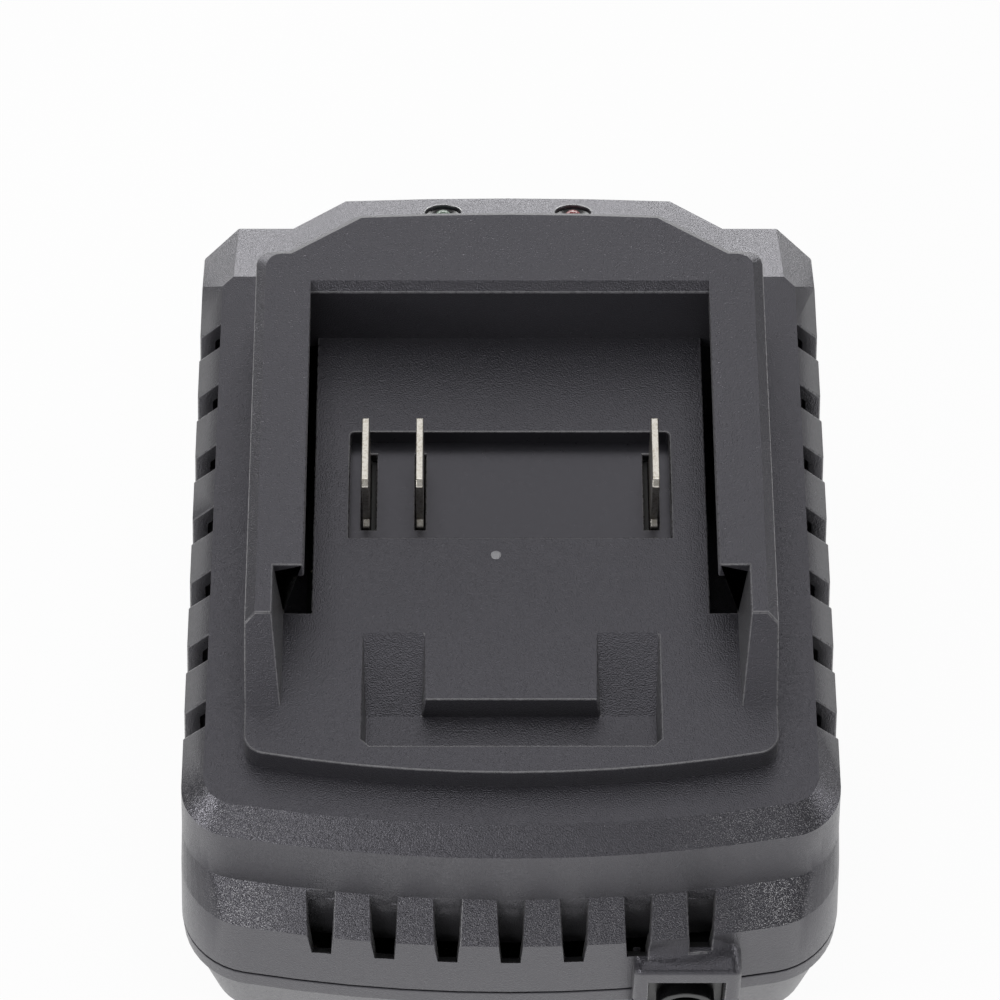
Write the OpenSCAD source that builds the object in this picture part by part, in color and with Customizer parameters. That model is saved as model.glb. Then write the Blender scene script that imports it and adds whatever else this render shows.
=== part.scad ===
// Slide-in dock charger for an 18 V class tool battery, fed through a DC barrel jack.
// X runs across the dock, Y from the jack end (-Y) to the lamp end (+Y), Z up from the table.

/* [Casing] */
// Width across the sides at the parting line
casing_w = 101.6; // [98:0.2:110]
// Length from the bowed jack end to the lamp end
casing_l = 132.1; // [130:0.1:145]
// Height of the parting line above the table
parting_h = 22.5; // [21.5:0.5:25]
// Height of the flat deck above the parting line
deck_rise = 37.1; // [36:0.1:42]
// Wall thickness of both casings
wall = 2.5; // [2:0.1:2.8]
// Radius of the bowed jack end, seen from above
bow_r = 240; // [200:5:400]
// Plan radius of the near corners at the parting line
corner_r = 12; // [10:0.5:14]
// How far each side leans in between the parting line and the deck edge
side_lean = 1.7; // [0.5:0.1:2.5]
// Sideways run of the chamfer round the deck
edge_run = 3.5; // [2.5:0.1:4]
// Drop of the chamfer round the deck
edge_drop = 4; // [3:0.1:5]
// Height of the foot of the near step above the parting line
step_rise = 15; // [13:0.5:17]
// Run and drop of the sloping near step
step_run = 5.2; // [4:0.1:6]
// Dark gap left at the parting line
parting_gap = 0.4; // [0.2:0.1:0.6]
// Height of the band under the parting line
band_h = 3.8; // [2.5:0.1:5]
// How far the lower casing tapers in below its band
base_taper = 3.1; // [2:0.1:5]

/* [Lamp end] */
// Slope of the lamp face from the horizontal
slope_deg = 30; // [26:1:34]
// Height of the lamp face from its foot to the deck
slope_rise = 9.7; // [8:0.1:11]
// Half width at which the far corner facets begin
far_corner_x = 43.9; // [42:0.1:46]
// Half width of the far face where it steps out
shoulder_x = 35.1; // [33:0.1:37]
// Half width of the outermost far plateau
plateau_x = 26.6; // [24:0.1:29]
// How far the plateau stands out past the shoulders
plateau_out = 5.6; // [4:0.1:7]
// Distance between the two lamps
lamp_pitch = 21.2; // [18:0.1:25]
// Diameter of each lamp hole
lamp_hole_d = 5.8; // [5:0.1:6.5]
// Distance of the lamp row from the foot of the slope, measured level
lamp_inset = 4.6; // [4.4:0.1:5.4]

/* [Battery dock] */
// Height of the dock floor above the deck
floor_rise = 4.3; // [3:0.1:5]
// Width across the outside of the rails at the deck
dock_w = 79.3; // [78:0.1:82]
// Height of the rails above the dock floor
rail_h = 13.5; // [12:0.1:16]
// Bevel along the outer top edge of the rails
rail_bevel = 1.6; // [1:0.1:2]
// Opening between the two lips
lip_gap = 61.5; // [60:0.1:63]
// Width between the rails' inner faces at the floor
channel_w = 68.4; // [68:0.1:70]
// How far each inner face leans out from floor to top
channel_lean = 1; // [0.5:0.1:1.2]
// Thickness of the lips
lip_t = 2.1; // [1.6:0.1:3]
// Width of the bead under the lips' inner edges
bead_w = 1.5; // [1:0.1:2]
// Drop of the bead below the lip
bead_drop = 1.1; // [0.5:0.1:1.5]
// Length of the lips from the stop wall
lip_l = 50.5; // [46:0.5:54]
// Full-height rail beyond the lips
lead_in = 8.2; // [6:0.1:10]
// Length of the ramp at the near end of each rail
ramp_l = 8; // [6:0.1:9]
// Distance from the stop wall to the far end of the casing
stop_back = 38.7; // [37:0.1:41]
// Chamfer on the rim of the stop wall
rim_c = 1.35; // [0.8:0.05:1.8]
// Width of the floor left between the slots under the lips
floor_w = 60; // [59.2:0.1:60.5]
// Flat deck left in front of the dock floor
deck_margin = 6.35; // [5:0.05:8]

/* [Latch recess] */
// Width of the recess that takes the battery latch
latch_w = 44.4; // [40:0.1:50]
// Length of the recess along the dock
latch_l = 19.4; // [17:0.1:22]
// Depth of the recess
latch_d = 5; // [4:0.1:5.5]
// How far the sides of the recess and of its island lean in by the floor
latch_lean = 0.5; // [0.2:0.1:1]
// Floor left between the recess and the near edge
latch_margin = 4.65; // [4:0.05:6]
// Width of the island in the recess
island_w = 25.8; // [20:0.1:30]
// Length of the island
island_l = 11.65; // [9:0.05:13]

/* [Contacts] */
// Width of the contact recess
contact_w = 49.2; // [48:0.1:52]
// Length of the contact recess along the dock
contact_l = 19.25; // [17:0.05:22]
// Depth of the contact recess
contact_d = 3.1; // [2:0.1:3.5]
// Floor left between the contact recess and the stop wall
contact_back = 17.75; // [15:0.05:19]
// Distance from the outer blades to the sides of the contact recess
blade_edge = 2.55; // [2:0.05:4]
// Distance from the positive blade to the sense blade
sense_pitch = 8.25; // [7:0.05:12]
// Blade thickness
blade_t = 1.1; // [0.8:0.05:1.3]
// Blade length along the dock
blade_l = 12.3; // [9:0.1:13]
// Height of the blades above the dock floor
blade_h = 7.8; // [6:0.1:9]

/* [Vents] */
// Number of vents in each side and in the near end
vent_n = 7; // [5:2:7]
// Width of a vent
vent_w = 4.3; // [3:0.1:5]
// Spacing of the side vents
side_vent_pitch = 11.5; // [10:0.1:12]
// How far the side vents run down below the deck
side_vent_drop = 19; // [12:0.5:22]
// Spacing of the near-end vents
end_vent_pitch = 9.55; // [8:0.05:10]
// Height of the near-end vents
end_vent_h = 10.4; // [8:0.1:12]
// How much narrower the near-end vents are at their foot
end_vent_taper = 1.3; // [0.5:0.1:2]
// Slope of the near-end vents' sills, down into the casing
sill_deg = 52; // [0:1:55]

/* [DC jack] */
// Sideways place of the jack
jack_x = 26.8; // [22:0.1:28]
// Height of the jack's axis above the table
jack_z = 21.3; // [20.5:0.1:22]
// How far the hood stands past the bowed end
jack_proud = 1.8; // [1.4:0.1:3]
// Width of the hood
hood_w = 16.4; // [15.8:0.1:18]
// Height of the hood
hood_h = 23.2; // [20:0.1:24]
// Front wall of the hood
hood_t = 3.3; // [2.8:0.1:4]
// Rise of the fillet that blends the hood into the wall above it
hood_fillet = 4.2; // [2:0.1:4.4]
// Width of the hood's window
window_w = 11.6; // [10.6:0.1:12]
// Height of the hood's window
window_h = 15.9; // [14:0.1:16.5]
// Depth of the jack's face in the window
jack_face_depth = 2.3; // [1:0.1:2.5]
// Bore for the plug
jack_bore_d = 6.4; // [6:0.1:6.6]
// Depth of the plug bore
jack_bore_l = 9.5; // [8:0.1:10]
// Centre pin of the jack
jack_pin_d = 2.1; // [1.9:0.1:2.5]
// Outside diameter of the jack's collar
collar_d = 8.9; // [8:0.1:9.6]

/* [Base and board] */
// Height of the rubber feet below the base
foot_h = 1.5; // [1:0.1:3]
// Diameter of the rubber feet
foot_d = 10; // [8:0.5:12]
// Spacing of the feet across the base
foot_span_x = 72; // [64:1:74]
// Place of the near feet
foot_near_y = -49; // [-50:0.5:-46]
// Place of the far feet
foot_far_y = 47; // [45:0.5:48]
// Spacing of the casing screws across the base
post_span_x = 77; // [76:0.5:78]
// Place of the near casing screws
post_near_y = -37; // [-38:0.5:-35]
// Place of the far casing screws
post_far_y = 36; // [34:0.5:37]
// Main board width
board_w = 66; // [62:1:67]
// Gap from the board's far edge to the lamp end
board_back = 33; // [31:0.5:35]
// Board thickness
board_t = 1.6; // [1.2:0.1:2]

/* [Circuit] */
// Diameter of the input capacitor
input_can_d = 12.6; // [10:0.2:13]
// Height of the input capacitor
input_can_h = 21; // [16:0.5:24]
// Diameter of the output capacitor
output_can_d = 10; // [8:0.2:11]
// Height of the output capacitor
output_can_h = 16; // [12:0.5:20]
// Diameter of the inductor's flanges
core_d = 16; // [14:0.5:17]
// Height of the inductor
core_h = 14; // [12:0.5:16]
// Width of the heat sink
sink_w = 27; // [26:0.5:29]
// Height of the heat sink
sink_h = 26; // [25:0.5:28]
// Depth of the heat sink over its fins
sink_l = 10; // [8:0.5:12]
// Width of each power package
package_w = 10; // [9:0.1:10.6]
// Diameter of the leads to the blades
lead_d = 1.8; // [1.4:0.1:2.2]

/* [Hidden] */
$fn = 32;

// Clearances
slip = 0.1;
slot_clear = 0.9;
reach = 20;
eps = 0.01;

// Heights above the table
base_z = foot_h;
deck_z = parting_h + deck_rise;
floor_z = deck_z + floor_rise;
rail_z = floor_z + rail_h;
edge_z = deck_z - edge_drop;
step_foot_z = parting_h + step_rise;
step_top_z = step_foot_z + step_run;
slope_foot_z = deck_z - slope_rise;
band_z = parting_h - band_h;
band_step = 0.8;
base_edge = 1.4;
upper_z = parting_h + parting_gap / 2;
lower_z = parting_h - parting_gap / 2;
tongue_z = parting_h + 1.4;
base_floor_z = base_z + wall;
roof_z = deck_z - wall;

// Lengths along the dock
half_l = (casing_l + jack_proud) / 2;
near_y = -half_l + jack_proud;
far_y = half_l;
far_bow = 0.6;
far_draft = 0.7;
near_lean = 0.2;
deck_near_y = near_y + near_lean + step_run + edge_run + 0.1;
shoulder_y = far_y - plateau_out - far_bow - far_draft;
stop_y = far_y - stop_back;
lip_near_y = stop_y - lip_l;
ramp_top_y = lip_near_y - lead_in;
ramp_foot_y = ramp_top_y - ramp_l;
plate_y = deck_near_y + deck_margin;
latch_near_y = plate_y + latch_margin;
latch_far_y = latch_near_y + latch_l;
contact_far_y = stop_y - contact_back;
contact_near_y = contact_far_y - contact_l;
blade_y = (contact_far_y + contact_near_y) / 2 + 1.05;
side_vent_y = -2.6;
blade_span = contact_w - 2 * blade_edge;

// Half widths of the casing
side_x = casing_w / 2;
edge_x = side_x - side_lean;
deck_x = edge_x - edge_run;
dock_lean = 0.35;
dock_x = dock_w / 2;
stop_wall = 6.5;

facet_slope = 1.15;
corner_steps = 10;
bow_steps = 10;
dock_corner_r = 2.4;
plate_corner_r = 3.4;
plate_bow_r = bow_r - 35;

// How much smaller the near corners' radius gets, level by level up to the deck
level_shrink = [0, 0, 2.5, 3, 3.5, 7];

// Jack end
hood_y = -half_l;
hood_back_y = hood_y + hood_t;
jack_face_y = hood_y + jack_face_depth;
jack_body_w = 9;
jack_body_h = 11;
jack_flange_t = 1.6;
jack_flange_w = window_w + 2.1;
jack_flange_h = window_h + 1.6;
jack_end_y = hood_back_y + 15.6;
hood_r = 1.6;
hood_edge_r = 0.9;
hood_block_l = 6;
hood_top_z = jack_z + hood_h / 2;
vent_lift = 1.2;
pin_recess = 2;
pin_shank_r = 0.8;

// Board stack
board_top_z = jack_z - jack_body_h / 2;
board_z = board_top_z - board_t;
board_near_y = hood_back_y + 6.6;
board_far_y = far_y - board_back;
board_x = board_w / 2;
board_screw_x = board_x - 4;
board_screw_y = [board_near_y + 17, board_far_y - 6];
board_post_r = 3;

// Terminal block under the contact recess
recess_floor_z = floor_z - contact_d;
tub_t = 2;
tub_z = recess_floor_z - tub_t;
block_h = 10;
block_z = tub_z - block_h;
block_l = 16;
block_x = blade_span / 2 + 2.3;
ear_t = 3;
ear_z = tub_z - 4;
ear_x = block_x + 2.65;
ear_boss_r = 2.4;
recess_corner_r = 0.6;
blade_seat_z = block_z + 2.7;
blade_lead_in = 0.9;
blade_far_c = 0.3;
blade_foot = 1;
tail_l = 5;
tail_z = block_z - 6.3;
positive_x = -blade_span / 2;
sense_x = positive_x + sense_pitch;
negative_x = blade_span / 2;

// Components, placed from the board's edges
input_can_at = [-board_x + 14, board_near_y + 12];
output_can_at = [-board_x + 11, board_far_y - 17];
core_at = [-2, board_near_y + 38];
fuse_at = [3, board_near_y + 12];
chip_at = [-board_x + 17, board_far_y - 34];
chip_row_at = [-board_x + 6, board_far_y - 47];
sink_x = board_x - 22;
sink_y = board_far_y - 20;
sink_plate_t = 3;
fin_t = 1.2;
package_pitch = package_w + 3;
core_flange_t = 2;
package_h = sink_h - 1.5;
package_t = 4.4;
tab_t = 1.3;
tab_l = 7.5;
tab_hole_z = package_h - 3;
header_y = board_far_y - 4.5;
header_h = 7;

// Posts and screws
post_r = 3.4;
post_foot_z = base_z + 17;
well_top_z = base_z + 10;
well_r = 3.6;
lower_post_r = 4.6;
screw_r = 1.3;
pilot_r = screw_r + 0.05;
small_screw_r = 1.05;
small_pilot_r = small_screw_r + 0.05;
small_clear_r = small_screw_r + 0.3;

// Lamps
lamp_y = far_y - far_draft - far_bow / 2 - lamp_inset;
lamp_z = slope_foot_z + lamp_inset * tan(slope_deg);
lamp_board_depth = 8;
lamp_post_x = lamp_pitch / 2 + 4.4;
lamp_post_r = 2.4;
lamp_board_x = lamp_post_x + 3.5;

// ---------- outlines ----------

function arc_point(x, y, r, a) = [x + r * cos(a), y + r * sin(a)];

// Bowed near edge with rounded corners, from the left side to the right side
function near_edge(hw, yn, r, bow) =
    let (yb = yn + bow,
        cx = hw - r,
        cy = yb - sqrt((bow - r) * (bow - r) - cx * cx),
        meet = 180 + atan2(yb - cy, cx))
    concat(
        [for (i = [0:corner_steps]) arc_point(-cx, cy, r, 180 + (meet - 180) * i / corner_steps)],
        [for (i = [1:bow_steps - 1]) arc_point(0, yb, bow, meet + (540 - 2 * meet) * i / bow_steps)],
        [for (i = [corner_steps:-1:0]) arc_point(cx, cy, r, 360 - (meet - 180) * i / corner_steps)]);

// How far the bowed near wall stands back at x
function bow_in(x) = bow_r - sqrt(bow_r * bow_r - x * x);

// Far edge stepped out to a plateau, from the inner corner of the right shoulder to the left one
function plateau_edge(ys, xs, xp, out, bow) =
    [[xs, ys], [xp, ys + out], [xp / 2, ys + out + bow * 0.75], [0, ys + out + bow],
        [-xp / 2, ys + out + bow * 0.75], [-xp, ys + out], [-xs, ys]];

// Casing outline: half width, near edge, corner radius and shoulder line, all of them already set in by t
function casing_outline(x, yn, r, y, t = 0) =
    let (xc = far_corner_x - 0.45 * t,
        yc = y - facet_slope * (x - xc))
    concat(
        [[x, yc], [xc, y]],
        plateau_edge(y, shoulder_x - 0.3 * t, plateau_x - 0.3 * t, plateau_out, far_bow),
        [[-xc, y], [-x, yc]],
        near_edge(x, yn, max(r, 1), bow_r - t));

// Dock outline: half width, near edge and shoulder line, already set in by t
function dock_outline(x, yn, y, t = 0) =
    concat(
        [for (i = [0:4]) arc_point(x - dock_corner_r, y - dock_corner_r, dock_corner_r, 90 * i / 4)],
        plateau_edge(y, shoulder_x - 0.8 - 0.3 * t, plateau_x - 3.1 - 0.3 * t, plateau_out + 1.3, far_bow),
        [for (i = [0:4]) arc_point(dock_corner_r - x, y - dock_corner_r, dock_corner_r, 90 + 90 * i / 4)],
        near_edge(x, yn, plate_corner_r, plate_bow_r));

// Shoulder line of the far end at height z, set in by t square to its face
function shoulder_at(z, t = 0) =
    min(shoulder_y + (slope_foot_z - z) * far_draft / (slope_foot_z - parting_h) - t,
        shoulder_y - (z - slope_foot_z) / tan(slope_deg) - t / sin(slope_deg));

function side_at(z) = side_x - side_lean * (z - parting_h) / (edge_z - parting_h);

// A closed solid through a stack of outlines that have the same number of points
module loft(levels) {
    n = len(levels[0][1]);
    m = len(levels);
    walls = [for (k = [0:m - 2]) for (i = [0:n - 1])
        let (a = k * n + i, b = k * n + (i + 1) % n)
        each [[a, a + n, b + n], [a, b + n, b]]];
    floor_fan = [for (i = [0:n - 1]) [i, (i + 1) % n, m * n]];
    roof_fan = [for (i = [0:n - 1]) [(m - 1) * n + (i + 1) % n, (m - 1) * n + i, m * n + 1]];
    points = concat(
        [for (level = levels) for (p = level[1]) [p[0], p[1], level[0]]],
        [[0, 0, levels[0][0]], [0, 0, levels[m - 1][0]]]);
    polyhedron(points, concat(walls, floor_fan, roof_fan));
}

// ---------- shared shapes ----------

module mirrored_x() {
    children();
    mirror([1, 0, 0]) children();
}

// A profile drawn in X and Z, extruded along Y from y0 to y1
module along_y(y0, y1) {
    translate([0, y1, 0]) rotate([90, 0, 0]) linear_extrude(y1 - y0) children();
}

// A profile drawn in Y and Z, extruded along X from x0 to x1
module along_x(x0, x1) {
    translate([x0, 0, 0]) rotate([90, 0, 90]) linear_extrude(x1 - x0) children();
}

module box(low, high) {
    translate(low) cube(high - low);
}

// A frame on the lamp face, with local Z square to the slope
module on_slope() {
    translate([0, lamp_y, lamp_z]) rotate([-slope_deg, 0, 0]) children();
}

module lamps() {
    on_slope() mirrored_x() translate([lamp_pitch / 2, 0, 0]) children();
}

module post_places() {
    mirrored_x() for (y = [post_near_y, post_far_y]) translate([post_span_x / 2, y, 0]) children();
}

module board_screw_places() {
    mirrored_x() for (y = board_screw_y) translate([board_screw_x, y, 0]) children();
}

module foot_places() {
    mirrored_x() for (y = [foot_near_y, foot_far_y]) translate([foot_span_x / 2, y, 0]) children();
}

// A pan-head screw that points up, with its head's seat at z = 0
module screw(shank_r, shank_l, head_r, head_h) {
    difference() {
        rotate_extrude()
            polygon([[0, -head_h], [head_r * 0.7, -head_h], [head_r, -head_h * 0.6], [head_r, 0],
                [shank_r, 0], [shank_r, shank_l - shank_r], [0, shank_l]]);
        for (a = [0, 90]) rotate(a)
            box([-head_r * 0.6, -head_r * 0.12, -head_h - 1],
                [head_r * 0.6, head_r * 0.12, -head_h * 0.4]);
    }
}

// ---------- upper casing ----------

// Outlines of the upper casing from its rim to the deck, set in by t
function upper_levels(t) =
    let (k = t * tan(22.5),
        slope_k = t * (1 - sin(slope_deg)) / cos(slope_deg),
        wall_y = near_y + near_lean + t,
        heights = [upper_z - t, step_foot_z - k, step_top_z - k,
            slope_foot_z - slope_k, edge_z - k, deck_z - t],
        upper_y = wall_y + step_run,
        near = [near_y + t, wall_y, upper_y, upper_y, upper_y + 0.1, deck_near_y + k])
    [for (i = [0:5])
        let (z = heights[i],
            x = i == 5 ? deck_x - k : side_at(z) - t)
        [z, casing_outline(x, near[i], corner_r - level_shrink[i] - t, shoulder_at(z, t), t)]];

module upper_skin() {
    loft(upper_levels(0));
}

module upper_hollow() {
    loft(upper_levels(wall));
}

module dock_block() {
    ys = stop_y + stop_wall + rail_bevel;
    loft([
        [edge_z, dock_outline(dock_x, plate_y, ys + 0.4)],
        [floor_z, dock_outline(dock_x - 0.05, plate_y, ys + 0.3)],
        [rail_z - rail_bevel, dock_outline(dock_x - dock_lean, plate_y, ys)],
        [rail_z, dock_outline(dock_x - dock_lean - rail_bevel, plate_y, ys - rail_bevel, rail_bevel)]]);
}

// The space the battery's foot slides into, with the lips over its two grooves
module dock_channel() {
    groove_z = rail_z - lip_t;
    groove_x = channel_w / 2 + channel_lean * (groove_z - floor_z) / rail_h;
    lip_x = lip_gap / 2;
    along_y(lip_near_y, stop_y) polygon([
        [-channel_w / 2, floor_z], [channel_w / 2, floor_z], [groove_x, groove_z],
        [lip_x + bead_w, groove_z], [lip_x + bead_w, groove_z - bead_drop],
        [lip_x, groove_z - bead_drop], [lip_x, rail_z + 1],
        [-lip_x, rail_z + 1], [-lip_x, groove_z - bead_drop],
        [-lip_x - bead_w, groove_z - bead_drop], [-lip_x - bead_w, groove_z],
        [-groove_x, groove_z]]);
    open_x = channel_w / 2 + channel_lean;
    along_y(plate_y - 10, lip_near_y + eps) polygon([
        [-channel_w / 2, floor_z], [channel_w / 2, floor_z],
        [open_x, rail_z], [open_x, rail_z + 1], [-open_x, rail_z + 1], [-open_x, rail_z]]);
    // Chamfered rim of the stop wall
    along_x(-lip_x, lip_x) polygon([
        [stop_y - eps, rail_z - rim_c], [stop_y + rim_c, rail_z], [stop_y + rim_c, rail_z + 1],
        [stop_y - eps, rail_z + 1]]);
    // Ramps at the near ends of the rails
    along_x(-side_x, side_x) polygon([
        [ramp_foot_y, floor_z], [ramp_top_y, rail_z], [ramp_top_y, rail_z + 1],
        [plate_y - 10, rail_z + 1], [plate_y - 10, floor_z]]);
}

// Recess for the latch: its two arms rise as ramps on either side of an island that stays level
module latch_recess() {
    x = latch_w / 2;
    island_x = island_w / 2;
    low = floor_z - latch_d;
    front_y = latch_far_y - island_l;
    difference() {
        intersection() {
            along_x(-x, x) polygon([
                [latch_near_y, floor_z + 1], [latch_near_y, low], [front_y, low],
                [latch_far_y, floor_z], [latch_far_y, floor_z + 1]]);
            along_y(latch_near_y, latch_far_y) polygon([
                [latch_lean - x, low], [x - latch_lean, low], [x, floor_z], [x, floor_z + 1],
                [-x, floor_z + 1], [-x, floor_z]]);
        }
        along_y(front_y, latch_far_y + 1) polygon([
            [-island_x - latch_lean, low], [island_x + latch_lean, low], [island_x, floor_z],
            [island_x, floor_z + 2], [-island_x, floor_z + 2], [-island_x, floor_z]]);
        // Small corners at the near end
        mirrored_x() translate([x, latch_near_y, low - 1])
            linear_extrude(latch_d + 3) polygon([[-1.2, 0], [-1.2, -1], [1, -1], [1, 1.2], [0, 1.2]]);
    }
}

module contact_recess() {
    x = contact_w / 2 - recess_corner_r;
    y = contact_far_y - recess_corner_r;
    translate([0, 0, recess_floor_z]) linear_extrude(contact_d + 1) polygon(concat(
        [[-contact_w / 2, contact_near_y], [contact_w / 2, contact_near_y]],
        [for (i = [0:4]) arc_point(x, y, recess_corner_r, 90 * i / 4)],
        [for (i = [0:4]) arc_point(-x, y, recess_corner_r, 90 + 90 * i / 4)]));
}

// Slots that the blades come up through, open on the inner side of the outer two
module blade_slots() {
    for (slot = [[positive_x, 1], [sense_x, 0], [negative_x, -1]]) {
        x = slot[0];
        low = x - blade_t / 2 - (slot[1] < 0 ? slot_clear : slip * 2);
        high = x + blade_t / 2 + (slot[1] > 0 ? slot_clear : slip * 2);
        box([low, blade_y - blade_l / 2 - 1.2, tub_z - 1],
            [high, blade_y + blade_l / 2 + 0.3, recess_floor_z + 1]);
    }
}

// Hollow under the dock floor and inside the stop wall, so that the walls stay even
module dock_underside() {
    x = dock_x - wall;
    y0 = plate_y + wall + 2;
    core_z = rail_z - wall;
    far_core_y = stop_y + wall;
    difference() {
        union() {
            box([-x, y0, roof_z - 1], [x, stop_y + wall + 0.1, floor_z - wall]);
            translate([0, 0, roof_z - 1]) linear_extrude(core_z - roof_z + 1) polygon([
                [-x + 4, far_core_y], [x - 4, far_core_y], [x - 4, far_core_y + 1.4],
                [plateau_x - 4, far_core_y + 8], [-plateau_x + 4, far_core_y + 8],
                [-x + 4, far_core_y + 1.4]]);
        }
        // Tub of the contact recess
        box([-contact_w / 2 - tub_t, contact_near_y - tub_t, tub_z],
            [contact_w / 2 + tub_t, contact_far_y + tub_t, floor_z]);
        // Tub of the latch recess
        box([-latch_w / 2 - tub_t, y0 - 1, roof_z - 2],
            [latch_w / 2 + tub_t, latch_far_y + tub_t, floor_z]);
        // Bosses for the terminal block
        mirrored_x() translate([ear_x, blade_y, roof_z - 2]) cylinder(r = ear_boss_r, h = 8);
        // Ribs across the floor
        for (y = [lip_near_y + 4, contact_far_y + 9])
            box([-floor_w / 2 + 0.6, y, roof_z - 2], [floor_w / 2 - 0.6, y + 1.4, floor_z]);
    }
}

module side_vents() {
    mirrored_x() for (i = [0:vent_n - 1])
        translate([deck_x, side_vent_y + (i - (vent_n - 1) / 2) * side_vent_pitch - vent_w / 2,
            deck_z - side_vent_drop])
            cube([reach, vent_w, side_vent_drop + 1]);
}

// Height of the near-end vents' sills, lifted clear of the hood where they stand over it
function sill_z(x) =
    let (across = (x - jack_x) / (hood_w / 2))
    max(step_top_z - end_vent_h, abs(across) < 1 ? hood_top_z + vent_lift * (1 - across * across) : 0);

// Near-end vents, cut down to the line of the wall above them, with sills that slope into the casing
module end_vents() {
    drop = wall * tan(sill_deg);
    h = end_vent_h + drop;
    top = vent_w / 2;
    foot = top - end_vent_taper / 2 * h / end_vent_h;
    for (i = [0:vent_n - 1]) {
        x = (i - (vent_n - 1) / 2) * end_vent_pitch;
        face_y = near_y + near_lean + bow_in(x);
        back_y = face_y + step_run + slip;
        sill = sill_z(x);
        intersection() {
            translate([x, 0, step_top_z]) along_y(near_y - 5, back_y)
                polygon([[-foot, -h], [foot, -h], [top, 0], [-top, 0]]);
            along_x(x - vent_w, x + vent_w) polygon([
                [near_y - 5, sill], [face_y, sill], [face_y + wall, sill - drop], [back_y, sill - drop],
                [back_y, step_top_z], [near_y - 5, step_top_z]]);
        }
    }
}

// Places across the hood, as [distance from its middle, drop of the rounded corner]
function hood_stations() =
    let (w = hood_w / 2,
        flat = w - hood_r,
        corner = [for (i = [0:4])
            [w - hood_r * (1 - cos(90 * i / 4)), hood_r * (1 - sin(90 * i / 4))]])
    concat(
        [for (c = corner) [-c[0], c[1]]],
        [for (i = [1:7]) [flat * (i / 4 - 1), 0]],
        [for (i = [4:-1:0]) corner[i]]);

// Section through the hood at one station, in Y and Z from the middle of the hood's block
function hood_section(across, drop) =
    let (w = hood_w / 2,
        h = hood_h / 2 - drop,
        mid_y = hood_y + hood_block_l / 2,
        front = hood_y + drop * 0.55 - mid_y,
        r = hood_edge_r,
        back = hood_block_l / 2,
        wall_y = near_y + near_lean + bow_in(jack_x + across) - mid_y,
        run = wall_y - front - r,
        rise = hood_fillet * (1 - across * across / (w * w)) + 0.01)
    concat(
        [[back, -h], [back, h + rise]],
        [for (i = [5:-1:1]) let (a = -90 + 90 * i / 5)
            [front + r + run * cos(a), h + rise * (1 + sin(a))]],
        [for (i = [0:4]) arc_point(front + r, h - r, r, 90 + 90 * i / 4)],
        [for (i = [0:4]) arc_point(front + r, r - h, r, 180 + 90 * i / 4)]);

// Hood round the jack between two heights, with a fillet up to the wall above it
module hood(z0, z1) {
    difference() {
        intersection() {
            translate([jack_x, hood_y + hood_block_l / 2, jack_z]) rotate([90, 0, 90])
                loft([for (s = hood_stations()) [s[0], hood_section(s[0], s[1])]]);
            box([jack_x - reach, hood_y - 1, z0], [jack_x + reach, hood_y + hood_block_l + 1, z1]);
        }
        jack_opening();
    }
}

// Window in the hood and the pocket behind it for the jack's flange
module jack_opening() {
    translate([jack_x, 0, jack_z]) {
        box([-window_w / 2, hood_y - 1, -window_h / 2], [window_w / 2, hood_back_y + 1, window_h / 2]);
        box([-jack_flange_w / 2 - slip, hood_back_y, -jack_flange_h / 2 - slip],
            [jack_flange_w / 2 + slip, hood_back_y + 9, jack_flange_h / 2 + slip]);
    }
}

module upper_casing() {
    color("#4d4d52") difference() {
        union() {
            difference() {
                union() {
                    upper_skin();
                    dock_block();
                }
                upper_hollow();
                rebate();
                dock_underside();
                dock_channel();
                latch_recess();
                contact_recess();
                blade_slots();
                // Slots under the lips, where the mould passes through
                mirrored_x() box([floor_w / 2, lip_near_y, roof_z - 1], [channel_w / 2, stop_y, floor_z + 1]);
                side_vents();
                jack_opening();
                lamps() translate([0, 0, -wall * 2]) cylinder(d = lamp_hole_d, h = wall * 3);
            }
            hood(upper_z, jack_z + hood_h);
            post_places() translate([0, 0, post_foot_z]) cylinder(r = post_r, h = roof_z + 1 - post_foot_z);
            mirrored_x() translate([ear_x, blade_y, ear_z]) cylinder(r = ear_boss_r, h = tub_z - ear_z + 1);
            on_slope() mirrored_x() translate([lamp_post_x, 0, -lamp_board_depth])
                cylinder(r = lamp_post_r, h = lamp_board_depth - wall + 1);
        }
        end_vents();
        post_places() translate([0, 0, post_foot_z - 1]) cylinder(r = pilot_r, h = 20);
        mirrored_x() translate([ear_x, blade_y, ear_z - 1]) cylinder(r = small_pilot_r, h = 7.5);
        on_slope() mirrored_x() translate([lamp_post_x, 0, -lamp_board_depth - 1])
            cylinder(r = small_pilot_r, h = 7);
    }
}

// Groove in the upper rim that the lower rim's tongue fits into
module rebate() {
    t = wall / 2;
    loft([for (z = [upper_z - 1, tongue_z])
        [z, casing_outline(side_at(z) - t, near_y + t, corner_r - t, shoulder_at(z, t), t)]]);
}

// ---------- lower casing ----------

// Outline of the lower casing drawn in by a shrink, set in by t
function lower_outline(shrink, t) =
    let (s = shrink + t)
    casing_outline(side_x - s, near_y + s, corner_r - s, shoulder_at(parting_h) - s, t);

module lower_skin() {
    foot = band_step + base_taper;
    loft([
        [base_z, lower_outline(foot + base_edge, 0)],
        [base_z + base_edge, lower_outline(foot, 0)],
        [band_z - band_step, lower_outline(band_step, 0)],
        [band_z, lower_outline(0.1, 0)],
        [lower_z, lower_outline(0, 0)]]);
}

module lower_hollow() {
    loft([
        [base_floor_z, lower_outline(band_step + base_taper, wall)],
        [band_z - band_step, lower_outline(band_step, wall)],
        [band_z + band_step, lower_outline(0, wall)],
        [tongue_z + 1, lower_outline(0, wall)]]);
}

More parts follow.
